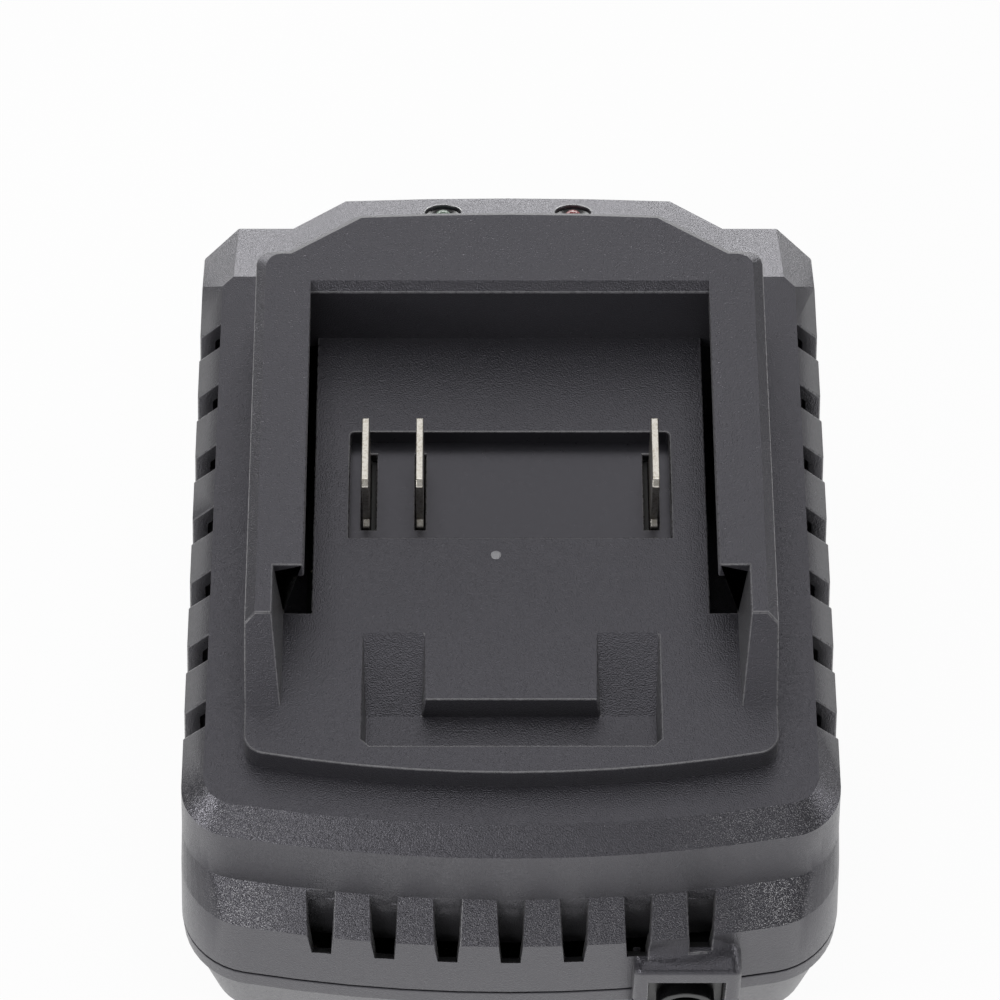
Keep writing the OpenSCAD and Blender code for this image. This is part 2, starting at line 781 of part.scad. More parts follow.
// Tongue on the rim that centres the upper casing
module tongue() {
    loft([for (z = [band_z + band_step, tongue_z]) [z, lower_outline(0, wall / 2 + slip)]]);
}

module lower_casing() {
    color("#46464b") difference() {
        union() {
            difference() {
                union() {
                    lower_skin();
                    tongue();
                }
                lower_hollow();
                jack_opening();
            }
            hood(0, lower_z);
            post_places() translate([0, 0, base_z]) cylinder(r = lower_post_r, h = post_foot_z - base_z);
            board_screw_places() translate([0, 0, base_z + 1])
                cylinder(r = board_post_r, h = board_z - base_z - 1);
            // Floor ribs
            for (x = [-14, 14]) box([x - 0.7, board_near_y + 6, base_floor_z - 0.5],
                [x + 0.7, board_far_y - 6, base_floor_z + 2]);
        }
        post_places() {
            translate([0, 0, base_z - 1]) cylinder(r = well_r, h = well_top_z - base_z + 1);
            translate([0, 0, well_top_z - 1]) cylinder(r = screw_r + 0.4, h = 20);
        }
        board_screw_places() translate([0, 0, base_floor_z]) cylinder(r = small_pilot_r, h = 20);
        foot_places() translate([0, 0, base_z - 1]) cylinder(d = foot_d + 2 * slip, h = 2.2);
    }
}

// ---------- contacts ----------

module terminal_block() {
    color("#2a2a2c") difference() {
        union() {
            box([-block_x, blade_y - block_l / 2, block_z], [block_x, blade_y + block_l / 2, tub_z]);
            mirrored_x() {
                box([block_x - 1, blade_y - 4, ear_z - ear_t], [ear_x, blade_y + 4, ear_z]);
                translate([ear_x, blade_y, ear_z - ear_t]) cylinder(r = ear_boss_r, h = ear_t);
            }
        }
        for (x = [positive_x, sense_x, negative_x]) {
            box([x - blade_t / 2 - slip / 2, blade_y - blade_l / 2 - slip / 2, blade_seat_z],
                [x + blade_t / 2 + slip / 2, blade_y + blade_l / 2 + slip / 2, tub_z + 1]);
            box([x - blade_t / 2 - slip / 2, blade_y - tail_l / 2 - slip / 2, block_z - 1],
                [x + blade_t / 2 + slip / 2, blade_y + tail_l / 2 + slip / 2, blade_seat_z + 1]);
        }
        // Weight-saving pocket between the sense and negative blades
        box([sense_x + 5, blade_y - 5, block_z - 1], [negative_x - 5, blade_y + 5, tub_z - 2.5]);
        mirrored_x() translate([ear_x, blade_y, ear_z - ear_t - 1])
            cylinder(r = small_clear_r, h = ear_t + 2);
    }
}

// A contact blade with a foot at its near edge and a narrower solder tail below its shoulders
module blade(x) {
    top = floor_z + blade_h;
    c = blade_lead_in;
    far_c = blade_far_c;
    foot = blade_foot;
    l = blade_l / 2;
    tail = tail_l / 2;
    color("#c9c6bd") along_x(x - blade_t / 2, x + blade_t / 2) translate([blade_y, 0]) polygon([
        [-tail, tail_z], [tail, tail_z], [tail, blade_seat_z], [l, blade_seat_z],
        [l, top - far_c], [l - far_c, top], [-l + c, top], [-l, top - c],
        [-l, recess_floor_z + 1.1], [-l - foot, recess_floor_z + 0.4], [-l - foot, tub_z + 0.2],
        [-l, tub_z + 0.2], [-l, blade_seat_z], [-tail, blade_seat_z]]);
}

module blade_positive() {
    blade(positive_x);
}

module blade_sense() {
    blade(sense_x);
}

module blade_negative() {
    blade(negative_x);
}

module terminal_screws() {
    color("#b8b8bc") mirrored_x() translate([ear_x, blade_y, ear_z - ear_t])
        screw(small_screw_r, ear_t + 6, 2.1, 1.5);
}

// ---------- lamps ----------

module led_bezels() {
    color("#1c1c1e") lamps() rotate_extrude() polygon([
        [1.6, -wall - 1], [3.8, -wall - 1], [3.8, -wall], [lamp_hole_d / 2 - slip, -wall],
        [lamp_hole_d / 2 - slip, -0.5], [1.9, -0.9], [1.6, -1.2]]);
}

// A 3 mm lamp behind its bezel, with two legs down to the lamp board
module led(side) {
    flange_z = -wall - 1;
    on_slope() translate([side * lamp_pitch / 2, 0, 0]) {
        rotate_extrude() polygon(concat(
            [[0, flange_z - 1], [1.9, flange_z - 1], [1.9, flange_z], [1.5, flange_z]],
            [for (i = [0:6]) arc_point(0, -1.2, 1.5, 90 * i / 6)]));
        for (x = [-1.27, 1.27])
            box([x - 0.25, -0.25, -lamp_board_depth], [x + 0.25, 0.25, flange_z - 0.5]);
    }
}

module led_green() {
    color("#9fb3a0") led(-1);
}

module led_red() {
    color("#b06a66") led(1);
}

module led_board() {
    color("#2f6b3a") on_slope() difference() {
        box([-lamp_board_x, -4.5, -lamp_board_depth - board_t],
            [lamp_board_x, 4.5, -lamp_board_depth]);
        mirrored_x() translate([lamp_post_x, 0, -lamp_board_depth - board_t - 1])
            cylinder(r = small_clear_r, h = board_t + 2);
    }
}

module led_board_screws() {
    color("#b8b8bc") on_slope() mirrored_x() translate([lamp_post_x, 0, -lamp_board_depth - board_t])
        screw(small_screw_r, 5, 2.1, 1.5);
}

// ---------- main board ----------

module main_board() {
    x = board_w / 2;
    c = 3;
    color("#2f6b3a") difference() {
        translate([0, 0, board_z]) linear_extrude(board_t) polygon([
            [-x + c, board_near_y], [x - c, board_near_y], [x, board_near_y + c], [x, board_far_y - c],
            [x - c, board_far_y], [-x + c, board_far_y], [-x, board_far_y - c], [-x, board_near_y + c]]);
        board_screw_places() translate([0, 0, board_z - 1])
            cylinder(r = small_screw_r + 0.4, h = board_t + 2);
    }
}

module board_screws() {
    color("#b8b8bc") board_screw_places() translate([0, 0, board_top_z])
        mirror([0, 0, 1]) screw(small_screw_r, board_top_z - base_floor_z - 0.5, 2.3, 1.6);
}

// ---------- DC jack ----------

module jack_axis() {
    translate([jack_x, 0, jack_z]) rotate([-90, 0, 0]) children();
}

module dc_jack() {
    color("#18181a") difference() {
        union() {
            translate([jack_x, 0, jack_z]) {
                // Face that fills the window
                box([-window_w / 2 + slip, jack_face_y, -window_h / 2 + slip],
                    [window_w / 2 - slip, hood_back_y + 1, window_h / 2 - slip]);
                box([-jack_flange_w / 2, hood_back_y, -jack_flange_h / 2],
                    [jack_flange_w / 2, hood_back_y + jack_flange_t, jack_flange_h / 2]);
                box([-jack_body_w / 2, hood_back_y + 1, -jack_body_h / 2],
                    [jack_body_w / 2, jack_end_y, jack_body_h / 2]);
            }
            jack_axis() translate([0, 0, hood_y]) cylinder(d = collar_d, h = 3);
        }
        jack_axis() translate([0, 0, hood_y - 1]) cylinder(d = jack_bore_d, h = jack_bore_l + 1);
        // Rivet hole for the centre pin
        jack_axis() translate([0, 0, hood_y])
            cylinder(r = pin_shank_r + slip / 2, h = jack_end_y - hood_y + 1);
        // Slot for the sleeve contact over the bore
        translate([jack_x, 0, jack_z])
            box([-1.6, hood_y + 4.5, 0], [1.6, jack_end_y + 1, jack_bore_d / 2 + 1]);
    }
}

// Centre pin, riveted through the body to a tag that runs down to the board
module jack_pin() {
    pin_r = jack_pin_d / 2;
    tip = 0.4;
    tail = jack_end_y - hood_y + 0.5;
    color("#c9c6bd") {
        jack_axis() translate([0, 0, hood_y]) rotate_extrude() polygon([
            [0, pin_recess], [pin_r - tip, pin_recess], [pin_r, pin_recess + tip],
            [pin_r, jack_bore_l], [pin_shank_r, jack_bore_l], [pin_shank_r, tail], [0, tail]]);
        translate([jack_x, 0, 0]) box([-1.2, jack_end_y, board_top_z], [1.2, jack_end_y + 0.6, jack_z + 1]);
    }
}

// Leaf that presses on the plug's sleeve, with its own tag
module jack_spring() {
    top = jack_z + jack_bore_d / 2 + 0.95;
    color("#d8b36a") translate([jack_x, 0, 0]) {
        along_x(-1.4, 1.4) polygon([
            [hood_y + 5, top], [hood_y + 5, top - 0.4], [hood_y + 7, top - 0.9], [hood_y + 9, top - 0.4],
            [jack_end_y + 1.8, top - 0.4], [jack_end_y + 1.8, board_top_z], [jack_end_y + 2.3, board_top_z],
            [jack_end_y + 2.3, top]]);
    }
}

// ---------- board components ----------

// Can capacitor standing on the board
module can_capacitor(at, r, h) {
    groove = 0.35;
    translate([at[0], at[1], board_top_z]) rotate_extrude() polygon([
        [0, 0], [r - 0.5, 0], [r, 0.6], [r, 2], [r - groove, 2.5], [r, 3], [r, h - 0.6],
        [r - 0.6, h], [r - 1.2, h - 0.3], [0, h - 0.3]]);
}

module input_capacitor() {
    color("#1f2f55") can_capacitor(input_can_at, input_can_d / 2, input_can_h);
}

module output_capacitor() {
    color("#1f2f55") can_capacitor(output_can_at, output_can_d / 2, output_can_h);
}

// Drum core, with flanges above and below the winding
module inductor_core() {
    r = core_d / 2;
    color("#35353a") translate([core_at[0], core_at[1], board_top_z]) rotate_extrude() polygon([
        [0, 0], [r, 0], [r, core_flange_t], [r / 2, core_flange_t],
        [r / 2, core_h - core_flange_t], [r, core_h - core_flange_t], [r, core_h], [0, core_h]]);
}

// Winding of round wire, laid in turns between the core's flanges
module inductor_coil() {
    turns = 10;
    wire = (core_h - 2 * core_flange_t) / turns;
    r = core_d / 2 - 0.7;
    color("#b8713d") translate([core_at[0], core_at[1], board_top_z]) rotate_extrude() polygon(concat(
        [[core_d / 4, core_flange_t], [r - wire / 2, core_flange_t]],
        [for (i = [0:turns - 1]) for (a = [-60, 0, 60])
            [r - wire / 2 + wire / 2 * cos(a), core_flange_t + wire * (i + 0.5) + wire * 0.45 * sin(a)]],
        [[r - wire / 2, core_h - core_flange_t], [core_d / 4, core_h - core_flange_t]]));
}

module tab_places() {
    for (s = [-1, 1]) translate([sink_x + s * package_pitch / 2, sink_y, board_top_z + tab_hole_z])
        rotate([-90, 0, 0]) children();
}

module heat_sink() {
    fins = 6;
    color("#a9abae") difference() {
        translate([sink_x, sink_y, board_top_z]) {
            box([-sink_w / 2, 0, 0], [sink_w / 2, sink_plate_t, sink_h]);
            for (i = [0:fins - 1]) let (x = -sink_w / 2 + (sink_w - fin_t) * i / (fins - 1))
                box([x, sink_plate_t - 1, 0], [x + fin_t, sink_l, sink_h]);
        }
        tab_places() translate([0, 0, -1]) cylinder(r = pilot_r, h = sink_plate_t + 2);
    }
}

// Power package with a drilled tab, bolted flat to the heat sink
module power_package(side) {
    x = sink_x + side * package_pitch / 2;
    w = package_w / 2;
    difference() {
        translate([x, sink_y, board_top_z]) {
            box([-w, -package_t, 3.5], [w, 0, package_h - tab_l + 1]);
            box([-w, -tab_t, package_h - tab_l], [w, 0, package_h]);
            for (p = [-2.54, 0, 2.54]) box([p - 0.4, -2.6, 0], [p + 0.4, -2.1, 4]);
        }
        tab_places() translate([0, 0, -tab_t - 1]) cylinder(r = screw_r + 0.3, h = tab_t + 2);
    }
}

module charge_transistor() {
    color("#222225") power_package(-1);
}

module rectifier_diode() {
    color("#222225") power_package(1);
}

module heat_sink_screws() {
    color("#b8b8bc") tab_places() translate([0, 0, -tab_t]) screw(screw_r, tab_t + sink_plate_t, 2.5, 1.8);
}

// Small-outline chip with gull-wing legs
module controller_chip() {
    color("#1b1b1d") translate([chip_at[0], chip_at[1], board_top_z]) {
        box([-2, -5, 0.15], [2, 5, 1.6]);
        for (i = [0:7]) let (p = -4.445 + i * 1.27)
            mirrored_x() along_y(p - 0.2, p + 0.2) polygon([
                [1.9, 0.75], [2.4, 0.75], [2.7, 0], [3.3, 0],
                [3.3, 0.2], [2.85, 0.2], [2.55, 0.95], [1.9, 0.95]]);
    }
}

// Chip resistors and capacitors in rows beside the controller
module chip_components() {
    color("#8d7b63") for (i = [0:5]) for (j = [0:1])
        translate([chip_row_at[0] + i * 2.8, chip_row_at[1] - j * 4, board_top_z])
            box([-0.6, -1, 0], [0.6, 1, 0.6 + 0.3 * j]);
}

module fuse() {
    color("#6b4a35") translate([fuse_at[0], fuse_at[1], board_top_z]) {
        rotate_extrude() polygon([[0, 0], [4, 0], [4.2, 0.3], [4.2, 7.6], [3.8, 8], [0, 8]]);
    }
}

// ---------- wiring ----------

function unit(v) = v / norm(v);

function bezier(p, t) =
    let (s = 1 - t)
    s * s * s * p[0] + 3 * s * s * t * p[1] + 3 * s * t * t * p[2] + t * t * t * p[3];

function bezier_dir(p, t) =
    let (s = 1 - t)
    unit(s * s * (p[1] - p[0]) + 2 * s * t * (p[2] - p[1]) + t * t * (p[3] - p[2]));

// Round wire swept along a curve with four control points
module wire(p, r) {
    n = 8;
    m = 14;
    rings = [for (k = [0:m]) let (t = k / m, c = bezier(p, t), d = bezier_dir(p, t),
        u = unit(cross(d, [1, 0, 0])), v = cross(d, u))
        for (i = [0:n - 1]) c + r * (cos(360 * i / n) * u + sin(360 * i / n) * v)];
    walls = [for (k = [0:m - 1]) for (i = [0:n - 1])
        let (a = k * n + i, b = k * n + (i + 1) % n)
        each [[a, a + n, b + n], [a, b + n, b]]];
    caps = concat([for (i = [1:n - 2]) [0, i, i + 1]],
        [for (i = [1:n - 2]) [m * n, m * n + i + 1, m * n + i]]);
    polyhedron(rings, concat(walls, caps));
}

// Wire from a blade's tail down to its pad on the board
module blade_lead(x, to_x, to_y) {
    wire([[x, blade_y, tail_z], [x, blade_y, tail_z - 12], [to_x, to_y, board_top_z + 14],
        [to_x, to_y, board_top_z]], lead_d / 2);
}

module lead_positive() {
    color("#b3302a") blade_lead(positive_x, positive_x - 4, blade_y - 12);
}

module lead_sense() {
    color("#d8c23a") blade_lead(sense_x, sense_x, blade_y - 12);
}

module lead_negative() {
    color("#202022") blade_lead(negative_x, negative_x + 3, blade_y - 12);
}

module lead_header() {
    color("#e8e6df") translate([0, header_y, board_top_z]) difference() {
        box([-6, -3, 0], [6, 3, header_h]);
        // Clip slots on the far side
        for (x = [-3.2, 3.2]) box([x - 0.9, 2, 2.5], [x + 0.9, 4, header_h + 1]);
    }
}

module led_leads() {
    depth = lamp_board_depth + board_t;
    down = [0, -sin(slope_deg), -cos(slope_deg)];
    start = [0, lamp_y, lamp_z] + depth * down;
    for (i = [0:2])
        let (side = [(i - 1) * 2.5, 0, 0],
            end = [0, header_y - 0.8, board_top_z + header_h] + side)
        color(["#b3302a", "#202022", "#3c8a4a"][i])
            wire([start + side, start + side + 10 * down, end + [0, 0, 14], end], 0.65);
}

// ---------- fasteners and feet ----------

module casing_screws() {
    color("#9a9aa0") post_places() translate([0, 0, well_top_z]) screw(screw_r, 22, 3, 2.2);
}

module rubber_feet() {
    color("#232325") foot_places() rotate_extrude()
        polygon([[0, 0], [foot_d / 2 - 0.8, 0], [foot_d / 2, 0.8],
            [foot_d / 2, base_z + 1.2], [0, base_z + 1.2]]);
}

upper_casing();
lower_casing();
terminal_block();
blade_positive();
blade_sense();
blade_negative();
terminal_screws();
led_bezels();
led_green();
led_red();
led_board();
led_board_screws();
main_board();
board_screws();
dc_jack();
jack_pin();
jack_spring();
input_capacitor();
output_capacitor();
inductor_core();
inductor_coil();
heat_sink();
charge_transistor();
rectifier_diode();
heat_sink_screws();
controller_chip();
chip_components();
fuse();
lead_header();
lead_positive();
lead_sense();
lead_negative();
led_leads();
casing_screws();
rubber_feet();
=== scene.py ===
import math

import bmesh
import bpy
from mathutils import Matrix, Vector
from mathutils.kdtree import KDTree


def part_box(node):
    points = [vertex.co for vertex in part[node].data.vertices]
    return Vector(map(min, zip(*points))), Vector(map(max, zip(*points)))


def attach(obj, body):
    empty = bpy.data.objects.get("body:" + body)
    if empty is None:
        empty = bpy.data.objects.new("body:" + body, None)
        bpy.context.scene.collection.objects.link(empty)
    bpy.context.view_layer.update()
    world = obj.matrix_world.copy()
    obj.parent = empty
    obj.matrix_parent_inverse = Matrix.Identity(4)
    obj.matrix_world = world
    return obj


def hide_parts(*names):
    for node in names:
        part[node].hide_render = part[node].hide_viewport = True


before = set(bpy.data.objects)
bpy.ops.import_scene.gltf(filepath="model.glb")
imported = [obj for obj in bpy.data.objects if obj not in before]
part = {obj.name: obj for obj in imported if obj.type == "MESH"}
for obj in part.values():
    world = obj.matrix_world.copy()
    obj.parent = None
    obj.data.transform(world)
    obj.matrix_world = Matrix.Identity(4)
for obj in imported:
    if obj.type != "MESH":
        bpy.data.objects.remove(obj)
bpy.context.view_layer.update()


# ---- Lower casing ----
# The tray that the charger stands on: black ABS, injection moulded in a spark-eroded tool.
# Its tongue fits in the upper casing, and a shallow chamfer runs round its foot.
class Wire:
    """One output of a shader node. Python's arithmetic on it adds Math nodes."""

    def __init__(self, finish, socket):
        self.finish = finish
        self.socket = socket

    def __add__(self, other):
        return self.finish.math("ADD", self, other)

    __radd__ = __add__

    def __sub__(self, other):
        return self.finish.math("SUBTRACT", self, other)

    def __rsub__(self, other):
        return self.finish.math("SUBTRACT", other, self)

    def __mul__(self, other):
        return self.finish.math("MULTIPLY", self, other)

    __rmul__ = __mul__

    def __gt__(self, other):
        return self.finish.math("GREATER_THAN", self, other)

    def __lt__(self, other):
        return self.finish.math("LESS_THAN", self, other)

    def __abs__(self):
        return self.finish.math("ABSOLUTE", self)


class Finish:
    """The nodes of a material, or of the room's light. Its lengths are millimetres of the charger's frame."""

    def __init__(self, name, kind=bpy.data.materials):
        self.owner = kind.new(name)
        self.owner.use_nodes = True
        self.tree = self.owner.node_tree
        self.tree.nodes.clear()

    def node(self, kind, settings, sockets, out=0):
        made = self.tree.nodes.new(kind)
        for name, value in settings.items():
            setattr(made, name, value)
        for key, value in sockets.items():
            if isinstance(value, Wire):
                self.tree.links.new(value.socket, made.inputs[key])
            else:
                made.inputs[key].default_value = value
        return Wire(self, made.outputs[out]) if made.outputs else None

    def math(self, operation, *terms):
        return self.node("ShaderNodeMath", {"operation": operation}, dict(enumerate(terms)))

    def place(self):
        metres = self.node("ShaderNodeTexCoord", {}, {}, "Object")
        return self.node("ShaderNodeVectorMath", {"operation": "SCALE"}, {0: metres, "Scale": 1000.0})

    def stretched(self, place, by):
        return self.node("ShaderNodeVectorMath", {"operation": "MULTIPLY"}, {0: place, 1: by})

    def axis(self, place, letter):
        return self.node("ShaderNodeSeparateXYZ", {}, {0: place}, letter)

    def noise(self, place, per_mm, detail=2.0, rough=0.5):
        return self.node("ShaderNodeTexNoise", {}, {
            "Vector": place, "Scale": per_mm, "Detail": detail, "Roughness": rough})

    def rise(self, value, low, high):
        return self.node("ShaderNodeMapRange", {"interpolation_type": "SMOOTHSTEP"}, {
            "Value": value, "From Min": low, "From Max": high})

    def within(self, value, low, high):
        return (value > low) * (value < high)

    def blend(self, share, first, second):
        # the colour sockets of a Mix node share their names with others, so they go by number
        pair = [c if isinstance(c, Wire) else (*c, 1) for c in (first, second)]
        return self.node("ShaderNodeMix", {"data_type": "RGBA"}, {
            0: share, 6: pair[0], 7: pair[1]}, 2)

    def bump(self, height, depth_mm):
        return self.node("ShaderNodeBump", {}, {
            "Strength": 1.0, "Distance": depth_mm / 1000, "Height": height})

    def surface(self, sockets):
        shader = self.node("ShaderNodeBsdfPrincipled", {}, sockets)
        self.node("ShaderNodeOutputMaterial", {}, {"Surface": shader})
        return self.owner


def put(name, data):
    thing = bpy.data.objects.new(name, data)
    bpy.context.collection.objects.link(thing)
    return thing


same_point, same_plane, shallow = 2e-6, math.radians(0.4), math.radians(28)


def as_cut(node):
    """The node's skin without its needless edges. Each corner and face keeps where it was cut to."""
    form = bmesh.new()
    form.from_mesh(part[node].data)
    bmesh.ops.remove_doubles(form, verts=form.verts, dist=same_point)
    bmesh.ops.dissolve_limit(form, angle_limit=same_plane, verts=form.verts, edges=form.edges)
    form.normal_update()
    was = form.verts.layers.float_vector.new("was")
    facing = form.faces.layers.float_vector.new("facing")
    for corner in form.verts:
        corner[was] = corner.co
    for face in form.faces:
        face[facing] = face.normal
        face.material_index = 0
    return form


def folds(form, corners, width):
    """The numbers of the corners near which rounding by that width has folded or dragged the skin."""
    far_drag, near_drag, near_fold = 3.2 * width, 1.5 * width, 0.5 * width
    speck = 1e-11
    folded = set()
    was = form.verts.layers.float_vector["was"]
    for corner in form.verts:
        if (corner.co - corner[was]).length > far_drag:
            folded.update(i for _, i, _ in corners.find_range(corner[was], near_drag))
    trial = form.copy()
    was = trial.verts.layers.float_vector["was"]
    facing = trial.faces.layers.float_vector["facing"]
    bmesh.ops.triangulate(trial, faces=[face for face in trial.faces if not face.material_index])
    for face in trial.faces:
        if not face.material_index and face.calc_area() > speck:
            a, b, c = (corner.co for corner in face.verts[:3])
            if (b - a).cross(c - a).dot(face[facing]) < 0:
                for corner in face.verts:
                    folded.update(i for _, i, _ in corners.find_range(corner[was], near_fold))
    trial.free()
    return folded


def rounded(node, width, crisp):
    """The node's skin with its outer knife edges rounded off. The rounded faces have material 1.
    A corner where the rounding would fold the skin is found by trial, and stays as it was cut."""
    knife = math.radians(52)
    cut = as_cut(node)
    corners = KDTree(len(cut.verts))
    for corner in cut.verts:
        corners.insert(corner.co, corner.index)
    corners.balance()
    kept = set()
    while True:
        form = cut.copy()
        edges = [e for e in form.edges if e.is_manifold and e.is_convex
                 and (e.calc_face_angle(0) > knife or crisp(e) and e.calc_face_angle(0) > shallow)
                 and kept.isdisjoint((e.verts[0].index, e.verts[1].index))]
        bmesh.ops.bevel(
            form, geom=edges, offset=width, offset_type="OFFSET", segments=2, profile=0.5,
            affect="EDGES", loop_slide=True, material=1)
        folded = folds(form, corners, width)
        if folded <= kept:
            cut.free()
            return form
        kept |= folded
        form.free()


def shade_edges(form):
    """Shades the skin smooth across soft edges. Beside a crumb of a face, or between two broad ones, only
    a nearly flat edge is soft. Broad is a face's mean width in metres, and crumb an area in square metres."""
    broad, crumb = 0.0025, 5e-8
    near_flat, soft = math.radians(9), math.radians(35)
    for edge in form.edges:
        areas = [face.calc_area() for face in edge.link_faces]
        lengths = [max(side.calc_length() for side in face.edges) for face in edge.link_faces]
        narrowest = min(area / length for area, length in zip(areas, lengths))
        strict = narrowest > broad or min(areas) < crumb
        edge.smooth = edge.calc_face_angle(0) < (near_flat if strict else soft)


def moulded(name, material, width_mm, crisp=lambda edge: False, edge_finish=None):
    """A moulded node with its knife edges rounded off, and the shallower ones that crisp picks.
    The rounded edges get edge_finish, where one is given."""
    form = rounded(name, width_mm / 1000, crisp)
    shade_edges(form)
    mesh = bpy.data.meshes.new(name + "_moulded")
    form.to_mesh(mesh)
    form.free()
    mesh.materials.append(material)
    mesh.materials.append(edge_finish or material)
    mesh.polygons.foreach_set("use_smooth", [True] * len(mesh.polygons))
    piece = put(name + "_moulded", mesh)
    shading = piece.modifiers.new("shading", "WEIGHTED_NORMAL")
    shading.keep_sharp = True
    shading.weight = 100
    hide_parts(name)
    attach(piece, "root")
    return piece


def casing_finish(name, dark, pale, smooth_shaded_recess=False):
    """Black ABS off a spark-eroded tool: a grain of a quarter of a millimetre over a slower one.
    On the two slopes of the near end the tips of the grain are painted pale as glints, most at the corners.
    The walls and the floor of the contact recess come off a polished insert of the tool, so their grain is
    smoothed; their darker colour is painted shade."""
    deck_chamfer, near_step = (55.6, 59.6), (37.5, 42.7)
    recess_half_x, recess_half_y, recess_y, recess_z = 24.7, 9.75, 0.9, (58.95, 63.7)
    glint_pale, recess_shade_black = (0.62, 0.615, 0.63), (0.008, 0.008, 0.010)
    skin = Finish(name)
    at = skin.place()
    across, along, up = (skin.axis(at, letter) for letter in "XYZ")
    side = abs(across)
    grain = skin.noise(at, 5.2, 0.5)
    slow = skin.noise(at, 1.6, 1.0)
    cloud = skin.noise(at, 0.06, 3.0)
    height = 0.85 * grain + 0.15 * slow
    # painted glints: pale grain tips on the near end's two slopes, strongest towards the corners
    chamfer_glints = skin.within(up, *deck_chamfer) * (0.04 + 0.30 * skin.rise(side, 18.0, 40.0))
    step_glints = skin.within(up, *near_step) * (0.20 + 0.55 * skin.rise(side, 31.0, 40.0))
    near_end = skin.rise(along, -40.0, -54.0)
    low_corner = (up < 50.0) * skin.rise(side, 41.0, 47.5)
    glint_zone = (chamfer_glints + step_glints) * near_end * (1 - low_corner)
    tips = skin.rise(skin.noise(at, 7.0, 0.0), 0.58, 0.70)
    # the contact recess: its grain smoothed, and its colour darkened as painted shade
    if smooth_shaded_recess:
        recess = (skin.rise(side, recess_half_x + 0.05, recess_half_x - 0.05)
                  * skin.within(up, *recess_z) * (abs(along - recess_y) < recess_half_y))
        height = height * (1 - 0.96 * recess)
        dark, pale = (skin.blend(recess, tone, recess_shade_black) for tone in (dark, pale))
    return skin.surface({
        "Base Color": skin.blend(tips * glint_zone, skin.blend(cloud, dark, pale), glint_pale),
        "Roughness": 0.24 + 0.14 * slow,
        "IOR": 1.75,
        "Sheen Weight": 0.12,
        "Sheen Roughness": 0.35,
        "Specular Tint": (0.92, 0.90, 1.0, 1),
        "Normal": skin.bump(height, 0.085)})


edge_round = 0.25
casing_black = casing_finish("casing_plastic", (0.0205, 0.020, 0.0235), (0.0235, 0.023, 0.027), True)
moulded("lower_casing", casing_black, edge_round)


# ---- Rubber feet ----
# Four glued discs of black rubber at the corners of the tray.
# They are matt and a little dusty.
def dress(name, material):
    piece = part[name]
    piece.data.materials.clear()
    piece.data.materials.append(material)
    return piece


def ease(piece, width_mm):
    """Takes the knife edges off a rigid piece, as its mould or press leaves them."""
    joined = piece.modifiers.new("joined", "WELD")
    joined.merge_threshold = same_point
    faces = piece.modifiers.new("faces", "DECIMATE")
    faces.decimate_type = "DISSOLVE"
    faces.angle_limit = same_plane
    edge = piece.modifiers.new("edge", "BEVEL")
    edge.width = width_mm / 1000
    edge.segments = 2
    edge.limit_method = "ANGLE"
    edge.angle_limit = shallow
    edge.use_clamp_overlap = False
    shading = piece.modifiers.new("shading", "WEIGHTED_NORMAL")
    shading.keep_sharp = True


rubber = Finish("foot_rubber")
at = rubber.place()
dust = rubber.noise(at, 0.35, 4.0, 0.6)
foot_rubber = rubber.surface({
    "Base Color": rubber.blend(rubber.rise(dust, 0.4, 0.75), (0.018, 0.018, 0.019), (0.055, 0.053, 0.05)),
    "Roughness": 0.7 + 0.2 * dust,
    "Normal": rubber.bump(rubber.noise(at, 4.0, 3.0), 0.03)})
ease(dress("rubber_feet", foot_rubber), 0.2)


# ---- DC socket ----
# A black nylon block whose round mouth shows in the near end, with a nickelled pin on its centre line.
# The leaf at its back is bare spring brass.
def matt_finish(name, tone, grain_mm, rough):
    """A moulded or printed skin of one colour with a fine grain: nylon, epoxy or solder mask."""
    skin = Finish(name)
    at = skin.place()
    grain = skin.noise(at, 5.0, 2.0)
    darker, paler = (tuple(c * share for c in tone) for share in (0.8, 1.2))
    return skin.surface({
        "Base Color": skin.blend(skin.noise(at, 0.2, 2.0), darker, paler),
        "Roughness": rough - 0.08 + 0.16 * grain,
        "Normal": skin.bump(grain, grain_mm)})


socket_black = matt_finish("socket_nylon", (0.006, 0.006, 0.0065), 0.012, 0.3)
moulded("dc_jack", socket_black, 0.2)


def plated(name, pale, dark, rough):
    """Sheet or turned metal with a plated skin: fine upright lines, and dull spots."""
    skin = Finish(name)
    at = skin.place()
    lines = skin.noise(skin.stretched(at, (1, 1, 0.08)), 10.0, 3.0, 0.6)
    spots = skin.noise(at, 2.5, 3.0, 0.6)
    return skin.surface({
        "Base Color": skin.blend(skin.rise(spots, 0.42, 0.72), pale, dark),
        "Metallic": 1.0,
        "Roughness": rough + 0.18 * lines,
        "Normal": skin.bump(lines, 0.006)})


nickel = plated("nickel_contact", (0.72, 0.69, 0.635), (0.52, 0.48, 0.41), 0.22)
brass = plated("brass_leaf", (0.78, 0.58, 0.27), (0.55, 0.38, 0.16), 0.25)
ease(dress("jack_pin", nickel), 0.08)
ease(dress("jack_spring", brass), 0.06)


# ---- Circuit boards ----
# 1.6 mm glass-fibre board under green solder mask, with the copper pours a shade paler beneath it.
# The sawn edges show the bare yellow laminate. The small board carries the lamps.
bare_mask, mask_on_copper = (0.010, 0.016, 0.012), (0.014, 0.024, 0.017)
via_tin, laminate = (0.42, 0.38, 0.30), (0.36, 0.31, 0.15)
under_z, upper_z = (1000 * corner.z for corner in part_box("main_board"))
board_t = upper_z - under_z


def cells(skin, place, per_mm, feature):
    return skin.node("ShaderNodeTexVoronoi", {"feature": feature}, {
        "Vector": place, "Scale": per_mm}, "Distance")


